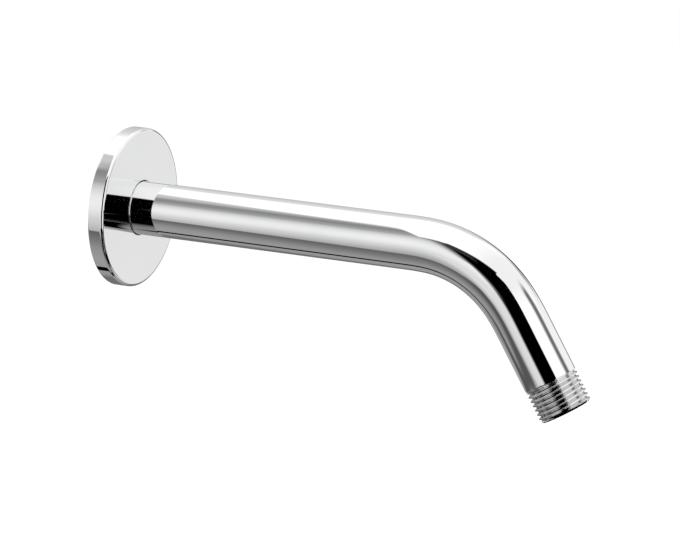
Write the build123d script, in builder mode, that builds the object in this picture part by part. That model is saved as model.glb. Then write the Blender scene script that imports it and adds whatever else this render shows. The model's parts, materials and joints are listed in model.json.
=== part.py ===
from build123d import *
import os

# A wall-mounted shower arm: one bent tube with a pipe thread cut on each end, and a round wall
# flange that slides along the tube on an O-ring.
# Millimetres. The origin is on the tube's axis in the wall plane, where the flange's back face
# lies. +X runs out of the wall along the tube, +Z is up, and the tube bends down.

# Tube
TUBE_OD = 21.0
TUBE_WALL = 2.5
INLET_STUB = 10.0  # from the wall plane back to the inlet's end face
STRAIGHT_RUN = 127.0  # from the wall plane out to the start of the bend
BEND_RADIUS = 47.5  # measured to the tube's axis
BEND_ANGLE = 60.0  # slope of the outlet below the level run, in degrees
OUTLET_RUN = 40.0  # from the end of the bend to the outlet's end face

# Threaded ends: plain spigots with the outside diameter of a half-inch pipe thread
THREAD_OD = 20.955
INLET_THREAD = 11.0  # from the end face to the run-out neck
OUTLET_THREAD = 12.4
END_CHAMFER = 0.9
NECK_FLOOR = 0.15  # flat floor of the run-out neck, beside the full tube
NECK_DEPTH = 0.58  # below the thread's crests, with a sloping side as wide
SHOULDER_ROUND = 0.35  # edge of the full tube beside the neck
BORE_CHAMFER = 0.5

# Wall flange
FLANGE_D = 62.5
FLANGE_THICKNESS = 6.4  # at the rim
FACE_CROWN = 0.6  # how far the domed front face stands out at the axis
FRONT_WALL = 2.0  # at the rim; the dome makes it thicker towards the hole
RIM_WALL = 2.0
FRONT_EDGE_ROUND = 1.2
BACK_EDGE_ROUND = 0.3
HOLLOW_ROUND = 1.0  # inside corners of the hollow back
HOLE_CLEARANCE = 0.2  # all round the tube
HOLE_EDGE_ROUND = 0.5
BOSS_RECESS = 2.0  # from the wall plane to the end of the boss round the tube
BOSS_WALL = 2.0  # outside the O-ring groove

# O-ring
RING_SECTION = 1.8
RING_GAP = 0.05  # to the tube and to the groove's floor
GROOVE_SIDE_GAP = 0.1
GROOVE_SETBACK = 2.4  # from the front of the rim to the middle of the groove

# Sizes that follow from the ones above
tube_radius = TUBE_OD / 2
bore_radius = tube_radius - TUBE_WALL
thread_radius = THREAD_OD / 2
neck_radius = thread_radius - NECK_DEPTH
neck_width = NECK_FLOOR + NECK_DEPTH
inlet_spigot = INLET_THREAD + neck_width
outlet_spigot = OUTLET_THREAD + neck_width
spigot_wall = thread_radius - bore_radius
end_chamfer = min(END_CHAMFER, spigot_wall / 2)
bore_chamfer = min(BORE_CHAMFER, spigot_wall / 4)
ring_centre_radius = tube_radius + RING_GAP + RING_SECTION / 2
groove_radius = ring_centre_radius + RING_SECTION / 2 + RING_GAP
groove_width = RING_SECTION + 2 * GROOVE_SIDE_GAP
groove_x = FLANGE_THICKNESS - GROOVE_SETBACK
hole_radius = tube_radius + HOLE_CLEARANCE
boss_radius = groove_radius + BOSS_WALL
flange_radius = FLANGE_D / 2
hollow_depth = FLANGE_THICKNESS - FRONT_WALL
crown_radius = (flange_radius**2 + FACE_CROWN**2) / (2 * FACE_CROWN)
crown_drop = crown_radius - (crown_radius**2 - hole_radius**2) ** 0.5  # from the axis to the hole
hole_front = FLANGE_THICKNESS + FACE_CROWN - crown_drop


# Arm: the tube's section swept from shoulder to shoulder, and a turned spigot on each end
with BuildPart() as arm:
    with BuildLine(Plane.XZ) as axis_line:
        level = Line((inlet_spigot - INLET_STUB, 0), (STRAIGHT_RUN, 0))
        bend = JernArc(level @ 1, level % 1, BEND_RADIUS, -BEND_ANGLE)
        Line(bend @ 1, bend @ 1 + (bend % 1) * (OUTLET_RUN - outlet_spigot))
    tube_axis = axis_line.wires()[0]
    with BuildSketch(Plane(tube_axis @ 0, z_dir=tube_axis % 0)):
        Circle(tube_radius)
        Circle(bore_radius, mode=Mode.SUBTRACT)
    sweep(path=tube_axis)
    shoulders = arm.faces().filter_by(GeomType.PLANE)
    fillet([face.outer_wire().edge() for face in shoulders], SHOULDER_ROUND)

    # On each end plane the sketch's X runs out from the tube's axis, and its Y along the spigot
    for shoulder_centre, outward, spigot_length in (
        (tube_axis @ 0, -(tube_axis % 0), inlet_spigot),
        (tube_axis @ 1, tube_axis % 1, outlet_spigot),
    ):
        end_plane = Plane(shoulder_centre, x_dir=outward.cross(Vector(0, 1, 0)), z_dir=(0, 1, 0))
        with BuildSketch(end_plane):
            with BuildLine():
                Polyline(
                    (bore_radius, 0),
                    (neck_radius, 0),
                    (neck_radius, NECK_FLOOR),
                    (thread_radius, neck_width),
                    (thread_radius, spigot_length - end_chamfer),
                    (thread_radius - end_chamfer, spigot_length),
                    (bore_radius + bore_chamfer, spigot_length),
                    (bore_radius, spigot_length - bore_chamfer),
                    close=True,
                )
            make_face()
        revolve(axis=Axis(shoulder_centre, outward))
arm.part.label = "arm"


# Wall flange: half of its section, turned about the tube's axis. The sides run from the rim's front
# edge round the hollow back to the edge of the hole, and the domed face closes them.
rim_front = (FLANGE_THICKNESS, flange_radius)
hole_edge = (hole_front, hole_radius)
back_corners = (
    ((0, flange_radius), BACK_EDGE_ROUND),
    ((0, flange_radius - RIM_WALL), 0),
    ((hollow_depth, flange_radius - RIM_WALL), HOLLOW_ROUND),
    ((hollow_depth, boss_radius), HOLLOW_ROUND),
    ((BOSS_RECESS, boss_radius), 0),
    ((BOSS_RECESS, hole_radius), 0),
)
with BuildPart() as wall_flange:
    with BuildSketch(Plane.XY) as flange_section:
        with BuildLine():
            FilletPolyline(
                rim_front,
                *(corner for corner, _ in back_corners),
                hole_edge,
                radius=[rounding for _, rounding in back_corners],
            )
            RadiusArc(hole_edge, rim_front, -crown_radius)
        make_face()
        for corner, rounding in ((rim_front, FRONT_EDGE_ROUND), (hole_edge, HOLE_EDGE_ROUND)):
            fillet(flange_section.vertices().sort_by_distance(corner)[0], rounding)
        # O-ring groove, open towards the tube
        with Locations((groove_x, hole_radius)):
            Rectangle(
                groove_width,
                groove_radius - hole_radius,
                align=(Align.CENTER, Align.MIN),
                mode=Mode.SUBTRACT,
            )
    revolve(axis=Axis.X)
wall_flange.part.label = "wall_flange"


# O-ring: its round cord, turned about the tube's axis
with BuildPart() as flange_o_ring:
    with BuildSketch(Plane.XY):
        with Locations((groove_x, ring_centre_radius)):
            Circle(RING_SECTION / 2)
    revolve(axis=Axis.X)
flange_o_ring.part.label = "flange_o_ring"


os.makedirs("parts", exist_ok=True)
for piece in (arm, wall_flange, flange_o_ring):
    export_step(piece.part, f"parts/{piece.part.label}.step")
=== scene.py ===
"""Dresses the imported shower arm: a chrome tube with cut threads, its wall flange and its O-ring.

Metres. The frame's +X runs out of the wall along the tube, +Z is up, and the tube bends down.
"""

import json
import logging
import math
from collections.abc import Iterable, Sequence
from dataclasses import dataclass, field
from enum import Enum, IntEnum
from typing import Self

import bpy
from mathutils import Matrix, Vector


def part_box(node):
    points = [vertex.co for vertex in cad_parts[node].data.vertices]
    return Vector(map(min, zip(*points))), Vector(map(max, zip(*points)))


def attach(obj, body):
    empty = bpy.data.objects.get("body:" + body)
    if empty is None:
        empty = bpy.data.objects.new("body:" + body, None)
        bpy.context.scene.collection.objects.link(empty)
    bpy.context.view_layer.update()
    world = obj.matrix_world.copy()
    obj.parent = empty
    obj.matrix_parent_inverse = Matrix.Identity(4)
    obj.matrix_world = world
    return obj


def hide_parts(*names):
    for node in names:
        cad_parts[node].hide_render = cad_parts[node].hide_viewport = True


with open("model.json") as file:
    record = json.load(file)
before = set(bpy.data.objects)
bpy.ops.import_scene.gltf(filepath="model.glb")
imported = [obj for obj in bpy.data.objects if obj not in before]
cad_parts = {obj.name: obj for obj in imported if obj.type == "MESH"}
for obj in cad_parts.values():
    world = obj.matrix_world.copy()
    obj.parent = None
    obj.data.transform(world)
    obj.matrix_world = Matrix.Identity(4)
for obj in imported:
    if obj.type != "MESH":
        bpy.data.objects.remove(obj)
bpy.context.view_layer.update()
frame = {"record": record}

MM = 0.001
SHARP_ANGLE = math.radians(40)
GROOVE = "groove"  # the mesh attribute for how deep a point lies in a thread
NOISE_MIDDLE = (0.35, 0.65)  # where most values of a noise lie
SPECKS_TO_A_PATCH = 14.0
SPECK_SHARE = 0.3
SQUARE = ((0, 0), (1, 0), (1, 1), (0, 1))  # a panel's corners, as shares of its sides
log = logging.getLogger("shower_arm")

Colour = tuple[float, float, float]
Outline = list[tuple[float, float]]
Inputs = dict[str | int, object]
Socket = bpy.types.NodeSocket


def mix(first: float, second: float, share: float) -> float:
    """The value that lies a share of the way from the first to the second."""
    return first + (second - first) * share


def ease(share: float) -> float:
    """A share from 0 to 1, eased in and out, and held outside that range."""
    held = min(max(share, 0.0), 1.0)
    return held * held * (3 - 2 * held)


def steps(first: float, last: float, spacing: float) -> list[float]:
    """Even places from first to last, both included, no further apart than the spacing."""
    count = max(1, math.ceil(abs(last - first) / spacing))
    return [mix(first, last, i / count) for i in range(count + 1)]


def rgba(colour: Colour) -> tuple[float, float, float, float]:
    """The colour with full alpha, as a colour socket takes it."""
    return (*colour, 1.0)


def linked(name: str, data: bpy.types.ID) -> bpy.types.Object:
    """Makes an object of a mesh, a lamp or a camera.

    Args:
        name: its name.
        data: what it shows.

    Returns:
        The object, linked to the scene.
    """
    made = bpy.data.objects.new(name, data)
    bpy.context.scene.collection.objects.link(made)
    return made


class Skin:
    """Collects loops of points and the faces between them, and makes one mesh of them."""

    def __init__(self) -> None:
        """Starts with no points and no faces."""
        self.points: list[Vector] = []
        self.grooves: list[float] = []
        self.faces: list[tuple[int, ...]] = []
        self.finishes: list[int] = []

    def point(self, place: Vector, groove: float = 0.0) -> int:
        """Adds one point.

        Args:
            place: where it lies.
            groove: how deep it lies in a thread's groove, from 0 to 1.

        Returns:
            The point's number.
        """
        self.points.append(place)
        self.grooves.append(groove)
        return len(self.points) - 1

    def loop(self, places: Iterable[Vector]) -> list[int]:
        """Adds a closed loop of points and returns their numbers."""
        return [self.point(place) for place in places]

    def turned(self, x: float, radius: float, columns: int) -> list[int]:
        """Adds a loop of so many columns round the X axis and returns its points' numbers."""
        angles = (math.tau * column / columns for column in range(columns))
        return self.loop(Vector((x, radius * math.cos(a), radius * math.sin(a))) for a in angles)

    def face(self, corners: Sequence[int], finish: int) -> None:
        """Adds a face, less the corners that fall together.

        Args:
            corners: the numbers of its points, in order.
            finish: the number of its finish on the piece.
        """
        kept = tuple(dict.fromkeys(corners))
        if len(kept) > 2:
            self.faces.append(kept)
            self.finishes.append(finish)

    def bridge(self, loops: Sequence[Sequence[int]], finish: int) -> None:
        """Joins each loop to the next with a band of faces.

        Args:
            loops: loops with as many points each.
            finish: the number of the bands' finish on the piece.
        """
        for first, second in zip(loops, loops[1:]):
            for i, corner in enumerate(first):
                after = (i + 1) % len(first)
                self.face((corner, first[after], second[after], second[i]), finish)

    def piece(self, name: str, finishes: Sequence[bpy.types.Material]) -> bpy.types.Object:
        """Makes the mesh object.

        Args:
            name: the piece's name.
            finishes: its materials, in the order of their numbers.

        Returns:
            The object, linked to the scene.
        """
        mesh = bpy.data.meshes.new(name)
        mesh.from_pydata(self.points, [], self.faces)
        for finish in finishes:
            mesh.materials.append(finish)
        mesh.polygons.foreach_set("material_index", self.finishes)
        mesh.attributes.new(GROOVE, "FLOAT", "POINT").data.foreach_set("value", self.grooves)
        mesh.validate()
        mesh.shade_smooth()
        mesh.set_sharp_from_angle(angle=SHARP_ANGLE)
        return linked(name, mesh)


class Graph:
    """A node tree, with short calls to add nodes and join their sockets."""

    def __init__(self, tree: bpy.types.NodeTree) -> None:
        """Takes the tree to work on."""
        self.tree = tree

    def plug(self, node: bpy.types.Node, inputs: Inputs) -> None:
        """Fills inputs of a node.

        Args:
            node: the node.
            inputs: a value, or a socket to link, for each input named or numbered.
        """
        for key, value in inputs.items():
            if isinstance(value, Socket):
                self.tree.links.new(value, node.inputs[key])
            else:
                node.inputs[key].default_value = value

    def add(self, kind: str, inputs: Inputs | None = None, **settings: object) -> bpy.types.Node:
        """Adds a node.

        Args:
            kind: the node's type.
            inputs: what fills its inputs.
            settings: the node's own options.

        Returns:
            The node.
        """
        node = self.tree.nodes.new(kind)
        for name, value in settings.items():
            setattr(node, name, value)
        self.plug(node, inputs or {})
        return node

    def maths(self, operation: str, first: object, second: object = 0.0) -> Socket:
        """Adds a sum of two values or sockets and returns its result."""
        return self.add("ShaderNodeMath", {0: first, 1: second}, operation=operation).outputs[0]

    def eased(self, inputs: Inputs) -> Socket:
        """Adds a change of range that eases in and out, and returns its result."""
        return self.add("ShaderNodeMapRange", inputs, interpolation_type="SMOOTHSTEP").outputs["Result"]

    def blend(self, share: object, first: object, second: object) -> Socket:
        """Adds a mix of two colours and returns it."""
        return self.add("ShaderNodeMix", {0: share, 6: first, 7: second}, data_type="RGBA").outputs[2]

    def noise(self, scale: object, detail: float) -> Socket:
        """Adds noise over the object.

        Args:
            scale: how many features there are to a metre.
            detail: its finer octaves.

        Returns:
            Its value, from 0 to 1.
        """
        place = self.add("ShaderNodeTexCoord").outputs["Object"]
        inputs = {"Vector": place, "Scale": scale, "Detail": detail}
        return self.add("ShaderNodeTexNoise", inputs).outputs["Fac"]

    def spread(self, noise: Socket, low: object, high: object) -> Socket:
        """Spreads the middle of a noise value over the range from low to high and returns it."""
        middle = {"From Min": NOISE_MIDDLE[0], "From Max": NOISE_MIDDLE[1]}
        return self.eased({"Value": noise, **middle, "To Min": low, "To Max": high})

    def bump(self, height: Socket, distance: float, strength: float = 1.0) -> Socket:
        """Adds relief that is as high as the distance, and returns its normals."""
        inputs = {"Height": height, "Strength": strength, "Distance": distance}
        return self.add("ShaderNodeBump", inputs).outputs["Normal"]

    def surface(self, share: Socket, first: Socket, second: Socket) -> None:
        """Puts a mix of two shaders on the material's surface."""
        both = self.add("ShaderNodeMixShader", {0: share, 1: first, 2: second}).outputs[0]
        self.plug(self.tree.nodes["Material Output"], {"Surface": both})


class Effect(Enum):
    """The surface effects that several finishes share: each a node group's name, inputs and output."""

    HAZE = (
        "plating_haze",
        (("Scale", "Float"), ("Clear", "Float"), ("Hazy", "Float")),
        ("Roughness", "Float"),
    )
    TINT = (
        "plating_tint",
        (("Scale", "Float"), ("Colour", "Color"), ("Shade", "Color")),
        ("Colour", "Color"),
    )
    WAVES = ("buffing_waves", (("Scale", "Float"),), ("Height", "Float"))

    def group(self) -> bpy.types.NodeTree:
        """The effect's node group, built when it is first asked for."""
        return bpy.data.node_groups.get(self.value[0]) or self._build()

    def _build(self) -> bpy.types.NodeTree:
        """Builds the node group.

        Returns:
            The group, with its named sockets.
        """
        name, inputs, (result, result_kind) = self.value
        tree = bpy.data.node_groups.new(name, "ShaderNodeTree")
        for socket, kind in inputs:
            tree.interface.new_socket(socket, in_out="INPUT", socket_type=f"NodeSocket{kind}")
        tree.interface.new_socket(result, in_out="OUTPUT", socket_type=f"NodeSocket{result_kind}")
        graph = Graph(tree)
        given = graph.add("NodeGroupInput").outputs
        recipes = {Effect.HAZE: self._haze, Effect.TINT: self._tint, Effect.WAVES: self._waves}
        graph.add("NodeGroupOutput", {result: recipes[self](graph, given)})
        return tree

    @staticmethod
    def _haze(graph: Graph, given: bpy.types.NodeOutputs) -> Socket:
        """Slow patches with fine specks over them, from clear to hazy.

        Args:
            graph: the group's nodes.
            given: the group's inputs.

        Returns:
            The roughness.
        """
        patches = graph.noise(given["Scale"], detail=3.0)
        specks = graph.noise(graph.maths("MULTIPLY", given["Scale"], SPECKS_TO_A_PATCH), detail=1.0)
        slow = graph.maths("MULTIPLY", patches, 1 - SPECK_SHARE)
        fine = graph.maths("MULTIPLY", specks, SPECK_SHARE)
        return graph.spread(graph.maths("ADD", slow, fine), given["Clear"], given["Hazy"])

    @staticmethod
    def _tint(graph: Graph, given: bpy.types.NodeOutputs) -> Socket:
        """A slow drift between two near colours."""
        share = graph.spread(graph.noise(given["Scale"], detail=2.0), 0.0, 1.0)
        return graph.blend(share, given["Colour"], given["Shade"])

    @staticmethod
    def _waves(graph: Graph, given: bpy.types.NodeOutputs) -> Socket:
        """The slow unevenness that a buffing wheel leaves."""
        return graph.noise(given["Scale"], detail=0.0)

    def place(self, graph: Graph, inputs: Inputs) -> Socket:
        """Places the effect in a material, with its values there, and returns what it puts out."""
        return graph.add("ShaderNodeGroup", inputs, node_tree=self.group()).outputs[0]


def new_material(name: str) -> tuple[bpy.types.Material, Graph, bpy.types.Node]:
    """Starts a material.

    Args:
        name: its name.

    Returns:
        The material, its nodes and its Principled shader.
    """
    material = bpy.data.materials.new(name)
    material.use_nodes = True
    return material, Graph(material.node_tree), material.node_tree.nodes["Principled BSDF"]


@dataclass(frozen=True)
class Finish:
    """A finish that drifts in patches between two near colours, and from clear to hazy."""

    name: str
    colour: Colour
    shade: Colour
    clear: float
    hazy: float
    tint_scale: float
    haze_scale: float
    metallic: float = 1.0

    def patches(self, graph: Graph) -> Inputs:
        """Places the patches in the material.

        Args:
            graph: the material's nodes.

        Returns:
            What the shader's colour and roughness get.
        """
        colours = {"Scale": self.tint_scale, "Colour": rgba(self.colour), "Shade": rgba(self.shade)}
        hazes = {"Scale": self.haze_scale, "Clear": self.clear, "Hazy": self.hazy}
        tint, haze = Effect.TINT.place(graph, colours), Effect.HAZE.place(graph, hazes)
        return {"Base Color": tint, "Roughness": haze}

    def relief(self, graph: Graph) -> Inputs:
        """What the shader's normal gets: nothing, for a finish without fine relief."""
        return {}

    def material(self) -> bpy.types.Material:
        """Builds the material.

        Returns:
            The material, under the finish's name.
        """
        made, graph, shader = new_material(self.name)
        graph.plug(shader, {**self.patches(graph), **self.relief(graph), "Metallic": self.metallic})
        return made


@dataclass(frozen=True)
class Chrome(Finish):
    """Chrome plate: a bright mirror with faint haze, drift of colour and buffing waves."""

    colour: Colour = (0.885, 0.887, 0.89)
    shade: Colour = (0.86, 0.863, 0.868)
    clear: float = 0.015
    hazy: float = 0.03
    tint_scale: float = 20.0
    haze_scale: float = 60.0
    wave_scale: float = 45.0
    wave_height: float = 0.004 * MM

    def relief(self, graph: Graph) -> Inputs:
        """What the shader's normal gets: the buffing waves."""
        waves = Effect.WAVES.place(graph, {"Scale": self.wave_scale})
        return {"Normal": graph.bump(waves, self.wave_height)}


@dataclass(frozen=True)
class ThreadPlate(Chrome):
    """Chrome plate on a cut thread: a duller mirror, hazier towards the groove's root and darkened there
    by painted shade.
    """

    clear: float = 0.03
    hazy: float = 0.06
    tint_scale: float = 260.0 / 3
    haze_scale: float = 260.0
    wave_scale: float = 700.0
    wave_height: float = 0.0006 * MM
    # painted shade: the colour that the groove's root is darkened to, in place of the shade that falls in
    # the thread
    painted_root_shade: Colour = (0.60, 0.60, 0.60)
    root_haze: float = 0.05
    # how quickly the painted shade deepens towards the groove's root
    root_power: float = 2.0

    def patches(self, graph: Graph) -> Inputs:
        """Places the patches in the material, with painted shade over them towards the groove's root.

        Args:
            graph: the material's nodes.

        Returns:
            What the shader's colour and roughness get.
        """
        plain = super().patches(graph)
        groove = graph.add("ShaderNodeAttribute", attribute_name=GROOVE).outputs["Fac"]
        # the share of painted shade, rising towards the groove's root; it darkens the colour there
        deep = graph.maths("POWER", groove, self.root_power)
        tint = graph.blend(deep, plain["Base Color"], rgba(self.painted_root_shade))
        haze = graph.maths("ADD", plain["Roughness"], graph.maths("MULTIPLY", deep, self.root_haze))
        return {"Base Color": tint, "Roughness": haze}


@dataclass(frozen=True)
class TurnedPlate(Finish):
    """Plate over metal that was turned and not buffed: satin, with the tool's fine rings about X."""

    colour: Colour = (0.66, 0.66, 0.64)
    shade: Colour = (0.58, 0.57, 0.54)
    clear: float = 0.24
    hazy: float = 0.36
    tint_scale: float = 90.0
    haze_scale: float = 120.0
    ring_pitch: float = 0.35 * MM
    ring_height: float = 0.006 * MM

    def relief(self, graph: Graph) -> Inputs:
        """Places the tool's rings in the material.

        Args:
            graph: the material's nodes.

        Returns:
            What the shader's normal gets.
        """
        place = graph.add("ShaderNodeTexCoord").outputs["Object"]
        split = graph.add("ShaderNodeSeparateXYZ", {"Vector": place}).outputs
        across = graph.add("ShaderNodeCombineXYZ", {"Y": split["Y"], "Z": split["Z"]}).outputs[0]
        radius = graph.add("ShaderNodeVectorMath", {0: across}, operation="LENGTH").outputs["Value"]
        travel = graph.maths("ADD", radius, split["X"])
        rings = graph.maths("SINE", graph.maths("MULTIPLY", travel, math.tau / self.ring_pitch))
        return {"Normal": graph.bump(rings, self.ring_height)}


@dataclass(frozen=True)
class DrawnBrass(Finish):
    """The bare brass inside a drawn tube: dull, with brown patches of oxide."""

    colour: Colour = (0.46, 0.33, 0.16)
    shade: Colour = (0.30, 0.20, 0.10)
    clear: float = 0.32
    hazy: float = 0.5
    tint_scale: float = 140.0
    haze_scale: float = 160.0


@dataclass(frozen=True)
class MouldedRubber(Finish):
    """Black moulded rubber, matt, with a fine grain and a faint grey bloom."""

    colour: Colour = (0.022, 0.022, 0.024)
    shade: Colour = (0.055, 0.055, 0.056)
    clear: float = 0.5
    hazy: float = 0.68
    tint_scale: float = 320.0
    haze_scale: float = 400.0
    metallic: float = 0.0
    grain_scale: float = 5200.0
    grain_height: float = 0.01 * MM
    grain_strength: float = 0.6

    def relief(self, graph: Graph) -> Inputs:
        """What the shader's normal gets: the grain."""
        grain = graph.noise(self.grain_scale, detail=3.0)
        return {"Normal": graph.bump(grain, self.grain_height, self.grain_strength)}


@dataclass(frozen=True)
class Station:
    """A cross-section of the tube: its centre, and the directions along it and across it."""

    centre: Vector
    forward: Vector
    up: Vector

    @classmethod
    def level(cls, x: float, z: float, turn: float) -> Self:
        """The cross-section at a place in the plane of the bend, turned down from level by an angle."""
        forward = Vector((math.cos(turn), 0, -math.sin(turn)))
        return cls(Vector((x, 0, z)), forward, Vector((math.sin(turn), 0, math.cos(turn))))

    def rim(self, radius: float, angle: float) -> Vector:
        """The point at a radius and an angle, turned right-handed about the tube from its upper side."""
        side = self.forward.cross(self.up)
        return self.centre + radius * (math.cos(angle) * self.up + math.sin(angle) * side)


@dataclass(frozen=True)
class Route:
    """The line of the tube's axis, by its length from the wall: a level run, a bend and a run down.

    A bender tightens and loosens its curve gradually, so the bend's curvature rises and falls over
    the easing length. The runs and the middle of the bend stay where an arc of the bend's radius has
    them.
    """

    straight: float
    bend_radius: float
    bend_angle: float
    outlet_run: float
    easing: float

    @property
    def corner_tangent(self) -> float:
        """From the ends of the plain arc to the corner where the lines of the two runs meet."""
        return self.bend_radius * math.tan(self.bend_angle / 2)

    @property
    def arc_radius(self) -> float:
        """The radius of the eased bend's middle stretch."""
        opening = 1 / math.cos(self.bend_angle / 2)
        slack = self.easing**2 * opening / (6 * (opening - 1))
        return (self.bend_radius + math.sqrt(self.bend_radius**2 - slack)) / 2

    @property
    def eased_tangent(self) -> float:
        """From the ends of the eased bend to the corner."""
        shift = self.easing**2 / (24 * self.arc_radius)
        return (self.arc_radius + shift) * math.tan(self.bend_angle / 2) + self.easing / 2

    @property
    def bend_start(self) -> float:
        """Where the eased bend starts."""
        return self.straight + self.corner_tangent - self.eased_tangent

    @property
    def bend_end(self) -> float:
        """Where the eased bend ends."""
        return self.bend_start + self.easing + self.arc_radius * self.bend_angle

    @property
    def end(self) -> float:
        """Where the outlet's end face lies."""
        return self.bend_end + self.corner_tangent + self.outlet_run - self.eased_tangent

    def station(self, along: float) -> Station:
        """The tube's cross-section at a place.

        Args:
            along: the length along the route.

        Returns:
            The cross-section.
        """
        middle = (self.bend_start + self.bend_end) / 2
        if along > middle:
            return self.mirrored(self.station(2 * middle - along))
        turned = along - self.bend_start
        if turned <= 0:
            return Station.level(along, 0.0, 0.0)
        if turned <= self.easing:
            return self.spiral(turned)
        entry = self.spiral(self.easing)
        first = self.easing / (2 * self.arc_radius)
        turn = first + (turned - self.easing) / self.arc_radius
        x = entry.centre.x + self.arc_radius * (math.sin(turn) - math.sin(first))
        z = entry.centre.z + self.arc_radius * (math.cos(turn) - math.cos(first))
        return Station.level(x, z, turn)

    def spiral(self, turned: float) -> Station:
        """The cross-section where the curvature rises, by the first terms of a spiral's two series.

        Args:
            turned: the length from the start of the bend.

        Returns:
            The cross-section.
        """
        spread = self.easing * self.arc_radius
        x = turned - turned**5 / (40 * spread**2)
        drop = turned**3 / (6 * spread) - turned**7 / (336 * spread**3)
        return Station.level(self.bend_start + x, -drop, turned**2 / (2 * spread))

    def mirrored(self, station: Station) -> Station:
        """The cross-section on the other half of the bend, over the line that halves its angle.

        Args:
            station: the cross-section on the first half.

        Returns:
            The cross-section on the second half.
        """
        corner = Vector((self.straight + self.corner_tangent, 0, 0))
        down = Vector((-math.sin(self.bend_angle / 2), 0, -math.cos(self.bend_angle / 2)))

        def over(way: Vector) -> Vector:
            """A direction, turned over about the halving line."""
            return 2 * way.dot(down) * down - way

        return Station(corner + over(station.centre - corner), -over(station.forward), over(station.up))

    def places(self, first: float, last: float, spacing: float, bend_steps: int) -> list[float]:
        """Places for cross-sections, close together in the bend.

        Args:
            first: where they start.
            last: where they end.
            spacing: the widest step on the straight runs.
            bend_steps: how many steps the bend has.

        Returns:
            The places, from first to last.
        """
        bend = [mix(self.bend_start, self.bend_end, i / bend_steps) for i in range(1, bend_steps)]
        return [*steps(first, self.bend_start, spacing), *bend, *steps(self.bend_end, last, spacing)]


@dataclass(frozen=True)
class PipeThread:
    """The rounded 55 degree form of a pipe thread, 14 turns to the inch."""

    pitch: float = 25.4 / 14 * MM
    half_angle: float = math.radians(27.5)
    depth_share: float = 0.640327
    rounding_share: float = 0.137329
    crest_rows: int = 3

    @property
    def depth(self) -> float:
        """From the crests to the roots."""
        return self.depth_share * self.pitch

    @property
    def rounding(self) -> float:
        """The radius of the crests and of the roots."""
        return self.rounding_share * self.pitch

    @property
    def arc_reach(self) -> float:
        """How far a rounded crest or root reaches along the axis, from its middle."""
        return self.rounding * math.cos(self.half_angle)

    def cut(self, offset: float) -> float:
        """How far the form lies below the crests.

        Args:
            offset: the distance along the axis from the nearest crest.

        Returns:
            The depth there.
        """
        if offset > self.pitch / 4:
            return self.depth - self.cut(self.pitch / 2 - offset)
        if offset <= self.arc_reach:
            return self.rounding - math.sqrt(self.rounding**2 - offset**2)
        on_arc = self.rounding * (1 - math.sin(self.half_angle))
        return on_arc + (offset - self.arc_reach) / math.tan(self.half_angle)

    def rows(self) -> list[float]:
        """Places for the mesh's rows, on the arcs and at their ends.

        Returns:
            Places along one turn, from a crest.
        """
        arc = [self.arc_reach * i / self.crest_rows for i in range(self.crest_rows + 1)]
        half = self.pitch / 2
        rising = [*arc, half / 2, *(half - place for place in reversed(arc))]
        return [*rising, *(self.pitch - place for place in reversed(rising[1:-1]))]


@dataclass(frozen=True)
class ThreadedEnd:
    """One end of the tube: where its face, its thread and its shoulder lie along the route."""

    face: float
    inward: int
    thread_length: float
    neck_width: float

    def at(self, depth: float) -> float:
        """The place along the route at a depth from the end face."""
        return self.face + self.inward * depth

    @property
    def spigot_length(self) -> float:
        """From the end face to the full tube."""
        return self.thread_length + self.neck_width

    @property
    def shoulder(self) -> float:
        """Where the full tube starts."""
        return self.at(self.spigot_length)


class ArmFinish(IntEnum):
    """The finishes on the arm's surface."""

    POLISHED = 0
    THREAD = 1
    BORE = 2


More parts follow.
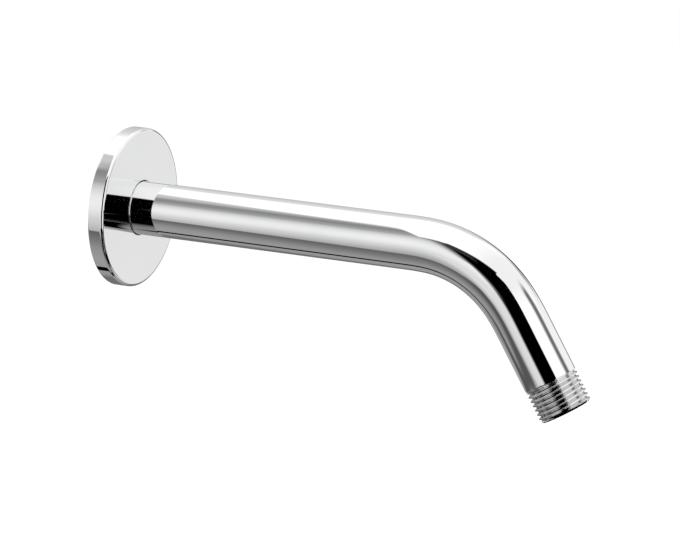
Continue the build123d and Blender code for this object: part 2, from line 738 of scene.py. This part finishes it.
@dataclass
class Arm:
    """The tube, bent once, with a pipe thread cut on each end."""

    tube_radius: float
    thread_radius: float
    bend_angle: float
    inlet_x: float
    wall: float = 2.5 * MM
    straight: float = 127.0 * MM
    bend_radius: float = 47.5 * MM
    outlet_run: float = 40.0 * MM
    bend_easing: float = 15.0 * MM
    inlet_thread: float = 11.0 * MM
    outlet_thread: float = 12.4 * MM
    end_chamfer: float = 0.9 * MM
    neck_floor: float = 0.15 * MM
    neck_depth: float = 0.58 * MM
    shoulder_round: float = 0.35 * MM
    shoulder_step: float = math.pi / 8
    bore_chamfer: float = 0.5 * MM
    lead_ring: float = 0.5 * MM
    lead_hold: float = 0.4 * MM
    lead_slope: float = 0.9
    run_out_length: float = 1.1 * MM
    run_out_share: float = 0.8
    hold: float = 0.3 * MM
    columns: int = 192
    tube_step: float = 8.0 * MM
    tube_bend_steps: int = 72
    bore_step: float = 10.0 * MM
    bore_bend_steps: int = 36
    polish: Chrome = Chrome("arm_chrome_polished")
    thread_plate: ThreadPlate = ThreadPlate("arm_chrome_thread")
    bore_metal: DrawnBrass = DrawnBrass("arm_bore_brass")
    thread: PipeThread = PipeThread()
    route: Route = field(init=False)
    inlet: ThreadedEnd = field(init=False)
    outlet: ThreadedEnd = field(init=False)

    def __post_init__(self) -> None:
        """Works out the route and the two ends."""
        self.route = Route(
            self.straight, self.bend_radius, self.bend_angle, self.outlet_run, self.bend_easing
        )
        neck_width = self.neck_floor + self.neck_depth
        self.inlet = ThreadedEnd(self.inlet_x, 1, self.inlet_thread, neck_width)
        self.outlet = ThreadedEnd(self.route.end, -1, self.outlet_thread, neck_width)

    @property
    def bore_radius(self) -> float:
        """The waterway's radius."""
        return self.tube_radius - self.wall

    def ring(self, skin: Skin, along: float, radius: float) -> list[int]:
        """Adds a loop round the tube at a place along it and returns its points."""
        station, columns = self.route.station(along), range(self.columns)
        return skin.loop(station.rim(radius, math.tau * column / self.columns) for column in columns)

    def thread_surface(self, end: ThreadedEnd, along: float, angle: float) -> tuple[float, float]:
        """The radius of a threaded end at a place along the route and an angle round it.

        Args:
            end: the end it is on.
            along: the place along the route.
            angle: the angle round the tube.

        Returns:
            The radius, and how deep in the groove that is, from 0 to 1.
        """
        depth = end.inward * (along - end.face)
        pitch = self.thread.pitch
        beyond = (along - pitch * angle / math.tau) % pitch
        run_out = ease((depth - end.thread_length) / self.run_out_length + 1)
        floor = self.end_chamfer - self.lead_ring + self.lead_slope * max(0.0, depth - self.lead_ring)
        form = self.thread.cut(min(beyond, pitch - beyond))
        cut = min(form * mix(1, self.run_out_share, run_out), floor)
        radius = min(
            self.thread_radius - cut,
            self.thread_radius - self.end_chamfer + depth,
            self.thread_radius - max(0.0, depth - end.thread_length),
        )
        return radius, cut / self.thread.depth

    def thread_rows(self, skin: Skin, end: ThreadedEnd) -> tuple[list[int], list[int]]:
        """Adds a threaded end, with rows that follow its helix and close up on a ring at each side.

        Args:
            skin: the skin it is added to.
            end: the end to cut.

        Returns:
            Its first and its last ring along the route.
        """
        low, high = sorted((end.at(self.lead_ring), end.at(end.thread_length + self.neck_depth)))
        rows, pitch = self.thread.rows(), self.thread.pitch
        known: dict[tuple[float, int], int] = {}

        def corner(row: int, column: int) -> int:
            """Adds a point of the thread, once; past the sides, the points lie on their rings.

            Args:
                row: its row, counted along the helix.
                column: its column, which may be the first of the next turn.

            Returns:
                The point's number.
            """
            turn, part = divmod(row + len(rows) * (column // self.columns), len(rows))
            column %= self.columns
            angle = math.tau * column / self.columns
            along = min(max(pitch * (turn + column / self.columns) + rows[part], low), high)
            if (along, column) not in known:
                radius, groove = self.thread_surface(end, along, angle)
                known[along, column] = skin.point(self.route.station(along).rim(radius, angle), groove)
            return known[along, column]

        first_row = (math.floor(low / pitch) - 1) * len(rows)
        last_row = (math.ceil(high / pitch) + 1) * len(rows)
        for row in range(first_row, last_row):
            for column in range(self.columns):
                corners = [corner(row, column), corner(row, column + 1)]
                corners += [corner(row + 1, column + 1), corner(row + 1, column)]
                skin.face(corners, ArmFinish.THREAD)
        return tuple([known[side, column] for column in range(self.columns)] for side in (low, high))

    def cone_rings(self, skin: Skin, end: ThreadedEnd) -> list[list[int]]:
        """Adds the plain cone between the thread and the end face, and returns its rings."""
        base = self.thread_radius - self.end_chamfer
        return [self.ring(skin, end.at(depth), base + depth) for depth in (self.lead_hold, 0.0)]

    def shoulder_rings(self, skin: Skin, end: ThreadedEnd) -> list[list[int]]:
        """Adds the neck's corner and the rounded edge of the full tube.

        Args:
            skin: the skin they are added to.
            end: the end they are on.

        Returns:
            Their rings, from the neck on.
        """
        rings = [self.ring(skin, end.shoulder, self.thread_radius - self.neck_depth)]
        for turn in steps(0, math.pi / 2, self.shoulder_step):
            depth = end.spigot_length + self.shoulder_round * (1 - math.cos(turn))
            radius = self.tube_radius - self.shoulder_round * (1 - math.sin(turn))
            rings.append(self.ring(skin, end.at(depth), radius))
        return rings

    def tube_rings(self, skin: Skin) -> list[list[int]]:
        """Adds the full tube between its rounded edges.

        Args:
            skin: the skin it is added to.

        Returns:
            Its rings, from the inlet on.
        """
        inset = self.shoulder_round + self.hold
        first, last = self.inlet.shoulder + inset, self.outlet.shoulder - inset
        places = self.route.places(first, last, self.tube_step, self.tube_bend_steps)
        return [self.ring(skin, along, self.tube_radius) for along in places]

    def bore_rings(self, skin: Skin) -> list[list[int]]:
        """Adds the waterway, with its mouths.

        Args:
            skin: the skin it is added to.

        Returns:
            Its rings, from the outlet back to the inlet.
        """
        outlet, inlet, mouth = self.outlet, self.inlet, self.bore_chamfer
        first, last = inlet.at(mouth + self.hold), outlet.at(mouth + self.hold)
        places = self.route.places(first, last, self.bore_step, self.bore_bend_steps)
        return [
            self.ring(skin, outlet.face, self.bore_radius + mouth),
            self.ring(skin, outlet.at(mouth), self.bore_radius),
            *(self.ring(skin, along, self.bore_radius) for along in reversed(places)),
            self.ring(skin, inlet.at(mouth), self.bore_radius),
            self.ring(skin, inlet.face, self.bore_radius + mouth),
        ]

    def build(self) -> bpy.types.Object:
        """Builds the arm as one closed skin, outside and bore.

        Returns:
            The arm's piece.
        """
        skin = Skin()
        inlet_lead, inlet_neck = self.thread_rows(skin, self.inlet)
        outlet_neck, outlet_lead = self.thread_rows(skin, self.outlet)
        inlet_cone = self.cone_rings(skin, self.inlet)[::-1]
        outlet_cone = self.cone_rings(skin, self.outlet)
        inlet_rings = self.shoulder_rings(skin, self.inlet)
        outlet_rings = self.shoulder_rings(skin, self.outlet)[::-1]
        bore = self.bore_rings(skin)
        skin.bridge([inlet_neck, *inlet_rings[:2]], ArmFinish.THREAD)
        skin.bridge([*inlet_rings[1:], *self.tube_rings(skin), *outlet_rings[:-1]], ArmFinish.POLISHED)
        skin.bridge([*outlet_rings[-2:], outlet_neck], ArmFinish.THREAD)
        skin.bridge([outlet_lead, *outlet_cone, *bore[:2]], ArmFinish.THREAD)
        skin.bridge(bore[1:-1], ArmFinish.BORE)
        skin.bridge([*bore[-2:], *inlet_cone, inlet_lead], ArmFinish.THREAD)
        finishes = [finish.material() for finish in (self.polish, self.thread_plate, self.bore_metal)]
        return skin.piece("shower_arm_tube", finishes)

    def dress(self) -> bpy.types.Object:
        """Builds the arm in place of its solid, on its body.

        Returns:
            The arm's piece.
        """
        piece = self.build()
        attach(piece, "arm")
        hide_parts("arm")
        return piece


class FlangeFinish(IntEnum):
    """The finishes on the flange's surface."""

    POLISHED = 0
    BACK = 1


@dataclass(frozen=True)
class Corner:
    """A corner of a turned section: its place along the axis, its radius and its rounding."""

    x: float
    radius: float
    rounding: float = 0.0

    @property
    def place(self) -> Vector:
        """The corner as a point of the section."""
        return Vector((self.x, self.radius))


@dataclass
class WallFlange:
    """The round cover plate on the wall: domed in front, hollow behind, with a boss for the O-ring."""

    radius: float
    hole_radius: float
    groove_x: float
    groove_radius: float
    groove_width: float
    rim_thickness: float = 6.4 * MM
    face_crown: float = 0.6 * MM
    front_wall: float = 2.0 * MM
    rim_wall: float = 2.0 * MM
    front_round: float = 1.2 * MM
    back_round: float = 0.3 * MM
    hollow_round: float = 1.0 * MM
    hole_round: float = 0.5 * MM
    boss_recess: float = 2.0 * MM
    boss_wall: float = 2.0 * MM
    hold: float = 0.25 * MM
    dome_step: float = 1.5 * MM
    arc_steps: int = 8
    columns: int = 256
    polish: Chrome = Chrome("flange_chrome_polished")
    back_plate: TurnedPlate = TurnedPlate("flange_back_plate")

    def face(self, radius: float) -> float:
        """How far the domed face stands out from the wall.

        Args:
            radius: the distance from the axis.

        Returns:
            The place along the axis.
        """
        dome_radius = (self.radius**2 + self.face_crown**2) / (2 * self.face_crown)
        drop = dome_radius - math.sqrt(dome_radius**2 - radius**2)
        return self.rim_thickness + self.face_crown - drop

    def front_corners(self) -> list[Corner]:
        """The buffed side of the section, from the back edge of the rim to the O-ring groove."""
        outer, inner = self.radius - 2 * self.front_round, self.hole_radius + 2 * self.hole_round
        return [
            Corner(0, self.radius, self.back_round),
            Corner(self.rim_thickness, self.radius, self.front_round),
            *(Corner(self.face(radius), radius) for radius in steps(outer, inner, self.dome_step)),
            Corner(self.face(self.hole_radius), self.hole_radius, self.hole_round),
        ]

    def back_corners(self) -> list[Corner]:
        """The turned side of the section.

        Returns:
            Its corners, from the O-ring groove to the inside of the rim.
        """
        half = self.groove_width / 2
        floor = self.rim_thickness - self.front_wall
        boss = self.groove_radius + self.boss_wall
        inside = self.radius - self.rim_wall
        return [
            Corner(self.groove_x + half, self.hole_radius),
            Corner(self.groove_x + half, self.groove_radius),
            Corner(self.groove_x - half, self.groove_radius),
            Corner(self.groove_x - half, self.hole_radius),
            Corner(self.boss_recess, self.hole_radius),
            Corner(self.boss_recess, boss),
            Corner(floor, boss, self.hollow_round),
            Corner(floor, inside, self.hollow_round),
            Corner(0, inside),
        ]

    def rounded(self, before: Corner, corner: Corner, after: Corner) -> Outline:
        """The points of one corner, as an arc between two points that hold the straight sides.

        Args:
            before: the corner before it.
            corner: the corner.
            after: the corner after it.

        Returns:
            Points of the section, as places along the axis and radii.
        """
        if not corner.rounding:
            return [tuple(corner.place)]
        back = (before.place - corner.place).normalized()
        ahead = (after.place - corner.place).normalized()
        half = back.angle(ahead) / 2
        reach = corner.rounding / math.tan(half)
        centre = corner.place + (back + ahead).normalized() * corner.rounding / math.sin(half)
        first = (corner.place + back * reach - centre).normalized()
        last = (corner.place + ahead * reach - centre).normalized()
        turns = (i / self.arc_steps for i in range(self.arc_steps + 1))
        arc = [centre + corner.rounding * first.slerp(last, turn) for turn in turns]
        held = [arc[0] + back * self.hold, *arc, arc[-1] + ahead * self.hold]
        return [tuple(point) for point in held]

    def build(self) -> bpy.types.Object:
        """Builds the flange as one turned skin.

        Returns:
            The flange's piece.
        """
        skin = Skin()
        front, back = self.front_corners(), self.back_corners()
        corners = [*front, *back]
        loops: list[list[int]] = []
        back_start = 0
        for i, corner in enumerate(corners):
            if i == len(front):
                back_start = len(loops)
            for x, radius in self.rounded(corners[i - 1], corner, corners[(i + 1) % len(corners)]):
                loops.append(skin.turned(x, radius, self.columns))
        skin.bridge(loops[: back_start + 1], FlangeFinish.POLISHED)
        skin.bridge([*loops[back_start:], loops[0]], FlangeFinish.BACK)
        return skin.piece("wall_flange_plate", [self.polish.material(), self.back_plate.material()])

    def dress(self) -> bpy.types.Object:
        """Builds the flange in place of its solid, on its body.

        Returns:
            The flange's piece.
        """
        piece = self.build()
        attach(piece, "flange")
        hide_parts("wall_flange")
        return piece


@dataclass
class ORing:
    """The rubber ring in the flange's groove, with the thin flash of its mould inside and outside."""

    x: float
    middle_radius: float
    cord_radius: float
    flash_height: float = 0.015 * MM
    flash_width: float = 0.1
    columns: int = 192
    cord_columns: int = 64
    rubber: MouldedRubber = MouldedRubber("ring_rubber_moulded")

    def cord_surface(self, angle: float) -> float:
        """The cord's radius at an angle round its section, from the outside of the ring."""
        from_flash = abs((angle + math.pi / 2) % math.pi - math.pi / 2)
        return self.cord_radius + self.flash_height * math.exp(-((from_flash / self.flash_width) ** 2))

    def build(self) -> bpy.types.Object:
        """Builds the ring.

        Returns:
            The ring's piece.
        """
        skin = Skin()
        loops: list[list[int]] = []
        for row in range(self.cord_columns):
            angle = math.tau * row / self.cord_columns
            cord = self.cord_surface(angle)
            x, radius = self.x + cord * math.sin(angle), self.middle_radius + cord * math.cos(angle)
            loops.append(skin.turned(x, radius, self.columns))
        skin.bridge([*loops, loops[0]], finish=0)
        return skin.piece("flange_o_ring_cord", [self.rubber.material()])

    def dress(self) -> bpy.types.Object:
        """Builds the ring in place of its solid, on its body.

        Returns:
            The ring's piece.
        """
        piece = self.build()
        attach(piece, "seal")
        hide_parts("flange_o_ring")
        return piece


class Run(Enum):
    """The edge of a card that its run of grey is measured from."""

    FROM_FOOT = "Y"
    FROM_LEFT = "X"


Span = tuple[float, float]
Greys = tuple[tuple[float, float], ...]


def shares(greys: Greys, span: Span) -> Greys:
    """A run of greys at places within a span, as shares of the span."""
    return tuple(((place - span[0]) / (span[1] - span[0]), grey) for place, grey in greys)


def flat(grey: float) -> Greys:
    """One grey all over a card."""
    return ((0.0, grey),)


BLACK = flat(0.0)


def panel(name: str, corners: Sequence[Vector], material: bpy.types.Material) -> bpy.types.Object:
    """Makes a flat panel for the studio.

    Args:
        name: its name.
        corners: its four corners, in order.
        material: its material.

    Returns:
        The object, linked to the scene.
    """
    mesh = bpy.data.meshes.new(name)
    mesh.from_pydata(corners, [], [(0, 1, 2, 3)])
    mesh.materials.append(material)
    return linked(name, mesh)


@dataclass(frozen=True)
class Card:
    """A studio card that only mirrors show: a flat panel with a run of grey and soft edges."""

    name: str
    middle: Vector
    across: Vector
    rise: Vector
    greys: Greys
    run: Run = Run.FROM_FOOT
    soft_sides: float = 0.03
    soft_ends: float = 0.03

    @classmethod
    def upright(
        cls, name: str, x: Span, y: float, z: Span, greys: Greys, lean: float = 0.0, **more: object
    ) -> Self:
        """A card that stands across the view.

        Args:
            name: its name.
            x: where it starts and ends, at its middle height.
            y: where it stands.
            z: its foot and its top.
            greys: its greys, each with a height.
            lean: how far its sides lean to the left for each metre up.
            more: its other fields.

        Returns:
            The card.
        """
        middle = Vector((sum(x) / 2, y, sum(z) / 2))
        half_width, half_height = (x[1] - x[0]) / 2, (z[1] - z[0]) / 2
        rise = Vector((-lean * half_height, 0, half_height))
        return cls(name, middle, Vector((half_width, 0, 0)), rise, shares(greys, z), **more)

    @classmethod
    def level(
        cls, name: str, x: Span, y: Span, z: float, greys: Greys, slant: float = 0.0,
        run: Run = Run.FROM_FOOT, **more: object
    ) -> Self:
        """A card that lies flat.

        Args:
            name: its name.
            x: where it starts and ends along X.
            y: where it starts and ends along Y, at its middle.
            z: its height.
            greys: its greys, each with a place along Y, or along X if its run is from the left.
            slant: how far its front and back go to the back for each metre to the right.
            run: the edge that its greys are measured from.
            more: its other fields.

        Returns:
            The card.
        """
        half = (x[1] - x[0]) / 2
        across, rise = Vector((half, slant * half, 0)), Vector((0, (y[1] - y[0]) / 2, 0))
        placed = shares(greys, x if run is Run.FROM_LEFT else y)
        return cls(name, Vector((sum(x) / 2, sum(y) / 2, z)), across, rise, placed, run, **more)

    @classmethod
    def facing(
        cls, name: str, towards: Vector, azimuth: float, distance: float, width: float, z: Span,
        greys: Greys, **more: object
    ) -> Self:
        """A card that stands and faces a point.

        Args:
            name: its name.
            towards: the point.
            azimuth: its direction from there, in degrees from -Y towards +X.
            distance: how far off it stands.
            width: its width.
            z: its foot and its top.
            greys: its greys, each with a height.
            more: its other fields.

        Returns:
            The card.
        """
        turn = math.radians(azimuth)
        middle = towards + distance * Vector((math.sin(turn), -math.cos(turn), 0))
        middle.z = sum(z) / 2
        across = Vector((math.cos(turn), math.sin(turn), 0)) * width / 2
        return cls(name, middle, across, Vector((0, 0, (z[1] - z[0]) / 2)), shares(greys, z), **more)

    def material(self) -> bpy.types.Material:
        """Builds the card's glow, with edges that fade out.

        Returns:
            The card's material.
        """
        made, graph, shader = new_material(self.name)
        graph.tree.nodes.remove(shader)
        place = graph.add("ShaderNodeTexCoord").outputs["UV"]
        split = graph.add("ShaderNodeSeparateXYZ", {"Vector": place}).outputs
        ramp = graph.add("ShaderNodeValToRGB", {"Fac": split[self.run.value]})
        stops = ramp.color_ramp.elements
        while len(stops) > len(self.greys):
            stops.remove(stops[-1])
        while len(stops) < len(self.greys):
            stops.new(1.0)
        for stop, (position, grey) in zip(stops, self.greys):
            stop.position = position
            stop.color = rgba((grey, grey, grey))
        sides = self.edge(graph, split["X"], self.soft_sides)
        ends = self.edge(graph, split["Y"], self.soft_ends)
        glow = graph.add("ShaderNodeEmission", {"Color": ramp.outputs["Color"]}).outputs[0]
        clear = graph.add("ShaderNodeBsdfTransparent").outputs[0]
        graph.surface(graph.maths("MULTIPLY", sides, ends), clear, glow)
        return made

    @staticmethod
    def edge(graph: Graph, place: Socket, soft: float) -> Socket:
        """How solid the card is at a place from 0 to 1 across it, with soft edges."""
        inward = graph.maths("MINIMUM", place, graph.maths("SUBTRACT", 1.0, place))
        return graph.eased({"Value": inward, "From Max": soft})

    def build(self) -> bpy.types.Object:
        """Builds the card, seen by mirrors alone.

        Returns:
            The card's panel.
        """
        corners = [self.middle + self.across * (2 * a - 1) + self.rise * (2 * r - 1) for a, r in SQUARE]
        card = panel(self.name, corners, self.material())
        for corner, place in zip(card.data.uv_layers.new(name="card").data, SQUARE):
            corner.uv = place
        for kind in ("camera", "diffuse", "transmission", "volume_scatter", "shadow"):
            setattr(card, f"visible_{kind}", False)
        return card


@dataclass
class Studio:
    """A white studio: a pale floor, a white surround, a soft lamp overhead and cards for the mirrors."""

    middle_x: float = 0.11
    outlet_x: float = 0.175
    floor_z: float = -0.5
    floor_size: float = 30.0
    floor_colour: Colour = (0.98, 0.98, 0.98)
    surround: Colour = (1.0, 1.0, 1.0)
    lamp_height: float = 1.7
    lamp_size: float = 1.5
    lamp_glow: float = 1.25

    def front_cards(self) -> list[Card]:
        """The camera's side: a white panel on the left, and black cloth beside it and behind it."""
        return [
            Card.upright("camera_cloth", (0.15, 1.135), -0.70, (-0.8, 0.95), BLACK,
                         lean=0.2, soft_sides=0.05),
            Card.upright("lower_cloth", (0.15, 1.0), -0.59, (-1.0, 0.15), BLACK,
                         soft_sides=0.12, soft_ends=0.08),
            Card.upright(
                "front_panel", (-1.6, 0.42), -0.60, (-0.9, 0.62),
                ((-0.9, 0.30), (-0.40, 0.42), (-0.28, 0.50), (-0.15, 0.65), (-0.05, 0.76), (0.06, 0.92),
                 (0.16, 0.98), (0.28, 0.93), (0.42, 0.77), (0.52, 0.61), (0.62, 0.43)),
                lean=0.52, soft_sides=0.11, soft_ends=0.01,
            ),
            Card.upright(
                "front_panel_glow", (-0.15, 0.27), -0.599, (-0.36, 0.04),
                ((-0.36, 0.42), (-0.24, 0.72), (-0.12, 0.82), (0.04, 0.84)),
                soft_sides=0.25, soft_ends=0.2,
            ),
        ]

    def upper_cards(self) -> list[Card]:
        """Above: a white scrim, with a grey gap and black cloth towards the camera."""
        return [
            Card.level(
                "upper_gap", (-1.6, -0.15), (-1.3, -0.10), 0.6,
                ((-1.3, 0.5), (-0.62, 0.45), (-0.50, 0.38), (-0.40, 0.30), (-0.33, 0.28)),
                soft_sides=0.012, soft_ends=0.19,
            ),
            Card.level("gap_edge", (-0.34, -0.16), (-0.60, -0.07), 0.605, flat(0.66),
                       slant=-1.5, soft_sides=0.1, soft_ends=0.08),
            Card.level(
                "upper_cloth", (-0.165, 0.55), (-1.514, -0.4235), 0.6,
                ((-0.165, 0.25), (-0.1, 0.22), (-0.05, 0.13), (0.03, 0.045), (0.25, 0.03), (0.33, 0.0)),
                slant=0.3, run=Run.FROM_LEFT, soft_sides=0.012, soft_ends=0.06,
            ),
            Card.level(
                "overhead_scrim", (-2.0, 2.5), (-1.5, 2.0), 0.9,
                ((0.25, 1.2), (0.6, 1.0), (1.1, 1.0), (1.6, 1.15)), run=Run.FROM_LEFT,
            ),
        ]

    def lower_cards(self) -> list[Card]:
        """Below: a grey table with a dark seam, shades under the outlet, and black cloth on the right."""
        return [
            Card.level(
                "grey_table", (-0.9, 0.20), (-0.535, 0.45), -0.2,
                ((-0.535, 0.12), (-0.45, 0.17), (-0.39, 0.23), (-0.33, 0.32), (-0.27, 0.36), (-0.16, 0.34),
                 (-0.11, 0.17), (0.45, 0.2)),
                slant=0.73,
            ),
            Card.level("table_seam", (-0.9, 0.11), (-0.060, -0.029), -0.199, BLACK, slant=0.1),
            Card.level("near_cloth", (0.03, 0.6), (-0.75, -0.08), -0.199, BLACK, soft_ends=0.1),
            Card.level("outlet_cloth", (0.12, 0.183), (0.015, 0.15), -0.11, BLACK),
            Card.level("outlet_shade", (0.085, 0.168), (-0.092, -0.030), -0.06, flat(0.10),
                       slant=1.2, soft_sides=0.15, soft_ends=0.35),
            Card.level("outlet_line", (0.103, 0.168), (-0.022, 0.000), -0.061, flat(0.10),
                       slant=0.18, soft_sides=0.15, soft_ends=0.3),
            Card.level("outlet_glow", (0.095, 0.168), (0.000, 0.042), -0.062, flat(0.42),
                       slant=-0.45, soft_sides=0.15, soft_ends=0.15),
            Card.level("table_cloth", (0.115, 0.6), (-0.33, 0.075), -0.199, BLACK),
            Card.level("right_cloth", (0.24, 0.8), (0.05, 0.4), -0.198, BLACK),
        ]

    def side_cards(self) -> list[Card]:
        """The sides and the back: grey panels that give the mirrors something to show."""
        middle, outlet = Vector((self.middle_x, 0.0, 0.0)), Vector((self.outlet_x, 0.0, 0.0))
        return [
            Card.facing(
                "side_panel", outlet, azimuth=116, distance=0.3, width=0.2, z=(-0.1, 0.28),
                greys=((-0.1, 0.17), (0.2, 0.17), (0.28, 0.4)), soft_sides=0.4, soft_ends=0.25,
            ),
            Card.facing(
                "back_left_wall", middle, azimuth=-160, distance=0.8, width=0.85, z=(-0.8, 0.75),
                greys=((-0.8, 0.50), (0.0, 0.55), (0.75, 0.90)), soft_sides=0.2,
            ),
            Card.upright("far_left_panel", (-1.3, -0.45), 0.6, (-0.2, 0.62), flat(0.3),
                         soft_sides=0.1, soft_ends=0.1),
            Card.upright("back_wall", (-0.2, 0.9), 0.6, (-0.5, -0.02), flat(0.87)),
            Card.upright("back_flag", (-0.03, 0.19), 0.59, (-0.35, 0.09), BLACK, soft_sides=0.15),
            Card.upright("back_shade", (-0.5, 0.0), 0.591, (-0.35, -0.03), flat(0.2), soft_sides=0.06),
            Card.upright("back_card", (0.2, 0.345), 0.59, (0.04, 0.22), flat(0.45), soft_ends=0.2),
        ]

    def floor(self) -> bpy.types.Object:
        """Lays the pale floor, which is clear from below.

        Returns:
            The floor.
        """
        material, graph, shader = new_material("pale_floor")
        matt = {"Roughness": 1.0, "Specular IOR Level": 0.0}
        graph.plug(shader, {"Base Color": rgba(self.floor_colour), **matt})
        below = graph.add("ShaderNodeNewGeometry").outputs["Backfacing"]
        clear = graph.add("ShaderNodeBsdfTransparent").outputs[0]
        graph.surface(below, shader.outputs[0], clear)
        size = self.floor_size
        corners = [Vector(((x - 0.5) * size, (y - 0.5) * size, self.floor_z)) for x, y in SQUARE]
        floor = panel("floor", corners, material)
        return floor

    def world(self) -> None:
        """Sets the white surround, at the strength that shows its colour as it is."""
        world = bpy.data.worlds.new("white_surround")
        bpy.context.scene.world = world
        world.use_nodes = True
        background = world.node_tree.nodes["Background"]
        Graph(world.node_tree).plug(background, {"Color": rgba(self.surround), "Strength": 1.0})

    def lamp(self) -> bpy.types.Object:
        """Hangs the soft lamp overhead.

        Returns:
            The lamp.
        """
        light = bpy.data.lights.new("overhead_softbox", "AREA")
        light.size = self.lamp_size
        light.energy = self.lamp_glow * math.pi * self.lamp_size**2
        lamp = linked("overhead_softbox", light)
        lamp.location = (self.middle_x, 0.0, self.lamp_height)
        return lamp

    def build(self) -> None:
        """Sets up the whole studio."""
        self.floor()
        self.world()
        self.lamp()
        for cards in (self.front_cards(), self.upper_cards(), self.lower_cards(), self.side_cards()):
            for card in cards:
                card.build()


@dataclass(frozen=True)
class Portrait:
    """The camera, at the photograph's angle, distance and field of view."""

    azimuth: float = 25.95
    elevation: float = 16.01
    distance: float = 1662.2 * MM
    target: tuple[float, float, float] = (93.14 * MM, 0.0, -16.62 * MM)
    lens: float = 228.95

    def build(self) -> bpy.types.Object:
        """Sets the camera and the plain view transform.

        Returns:
            The camera.
        """
        turn, lift = math.radians(self.azimuth), math.radians(self.elevation)
        away = Vector((math.sin(turn) * math.cos(lift), -math.cos(turn) * math.cos(lift), math.sin(lift)))
        data = bpy.data.cameras.new("portrait")
        data.lens = self.lens
        camera = linked("portrait", data)
        camera.location = Vector(self.target) + away * self.distance
        camera.rotation_euler = away.to_track_quat("Z", "Y").to_euler()
        scene = bpy.context.scene
        scene.camera = camera
        scene.view_settings.view_transform = "Standard"
        return camera


def mount(name: str) -> dict:
    """The record's mount of that name."""
    return next(entry for entry in frame["record"]["mounts"] if entry["name"] == name)


def measured_arm() -> Arm:
    """Takes the arm's sizes from the frame.

    Returns:
        The arm.
    """
    low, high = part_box("arm")
    outlet = mount("outlet_thread")
    return Arm(
        tube_radius=(high.y - low.y) / 2,
        thread_radius=outlet["dims"]["r_mm"] * MM,
        bend_angle=math.atan2(-outlet["axis"][2], outlet["axis"][0]),
        inlet_x=low.x,
    )


def measured_ring() -> ORing:
    """Takes the O-ring's sizes from the frame.

    Returns:
        The O-ring.
    """
    low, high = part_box("flange_o_ring")
    cord_radius = (high.x - low.x) / 2
    return ORing(x=(low.x + high.x) / 2, middle_radius=high.z - cord_radius, cord_radius=cord_radius)


def measured_flange(arm: Arm, ring: ORing) -> WallFlange:
    """Takes the flange's sizes from the frame and from the pieces inside it.

    Args:
        arm: the arm, which goes through it.
        ring: the O-ring in its groove.

    Returns:
        The flange.
    """
    low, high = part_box("wall_flange")
    hole_clearance, ring_gap, side_gap = 0.2 * MM, 0.05 * MM, 0.1 * MM
    return WallFlange(
        radius=(high.y - low.y) / 2,
        hole_radius=arm.tube_radius + hole_clearance,
        groove_x=ring.x,
        groove_radius=ring.middle_radius + ring.cord_radius + ring_gap,
        groove_width=2 * (ring.cord_radius + side_gap),
    )


def main() -> None:
    """Builds the pieces, the studio and the camera."""
    logging.basicConfig(level=logging.INFO, format="%(name)s: %(message)s")
    arm, ring = measured_arm(), measured_ring()
    for assembly in (arm, measured_flange(arm, ring), ring):
        piece = assembly.dress()
    Studio().build()
    Portrait().build()


if __name__ == "__main__":
    main()
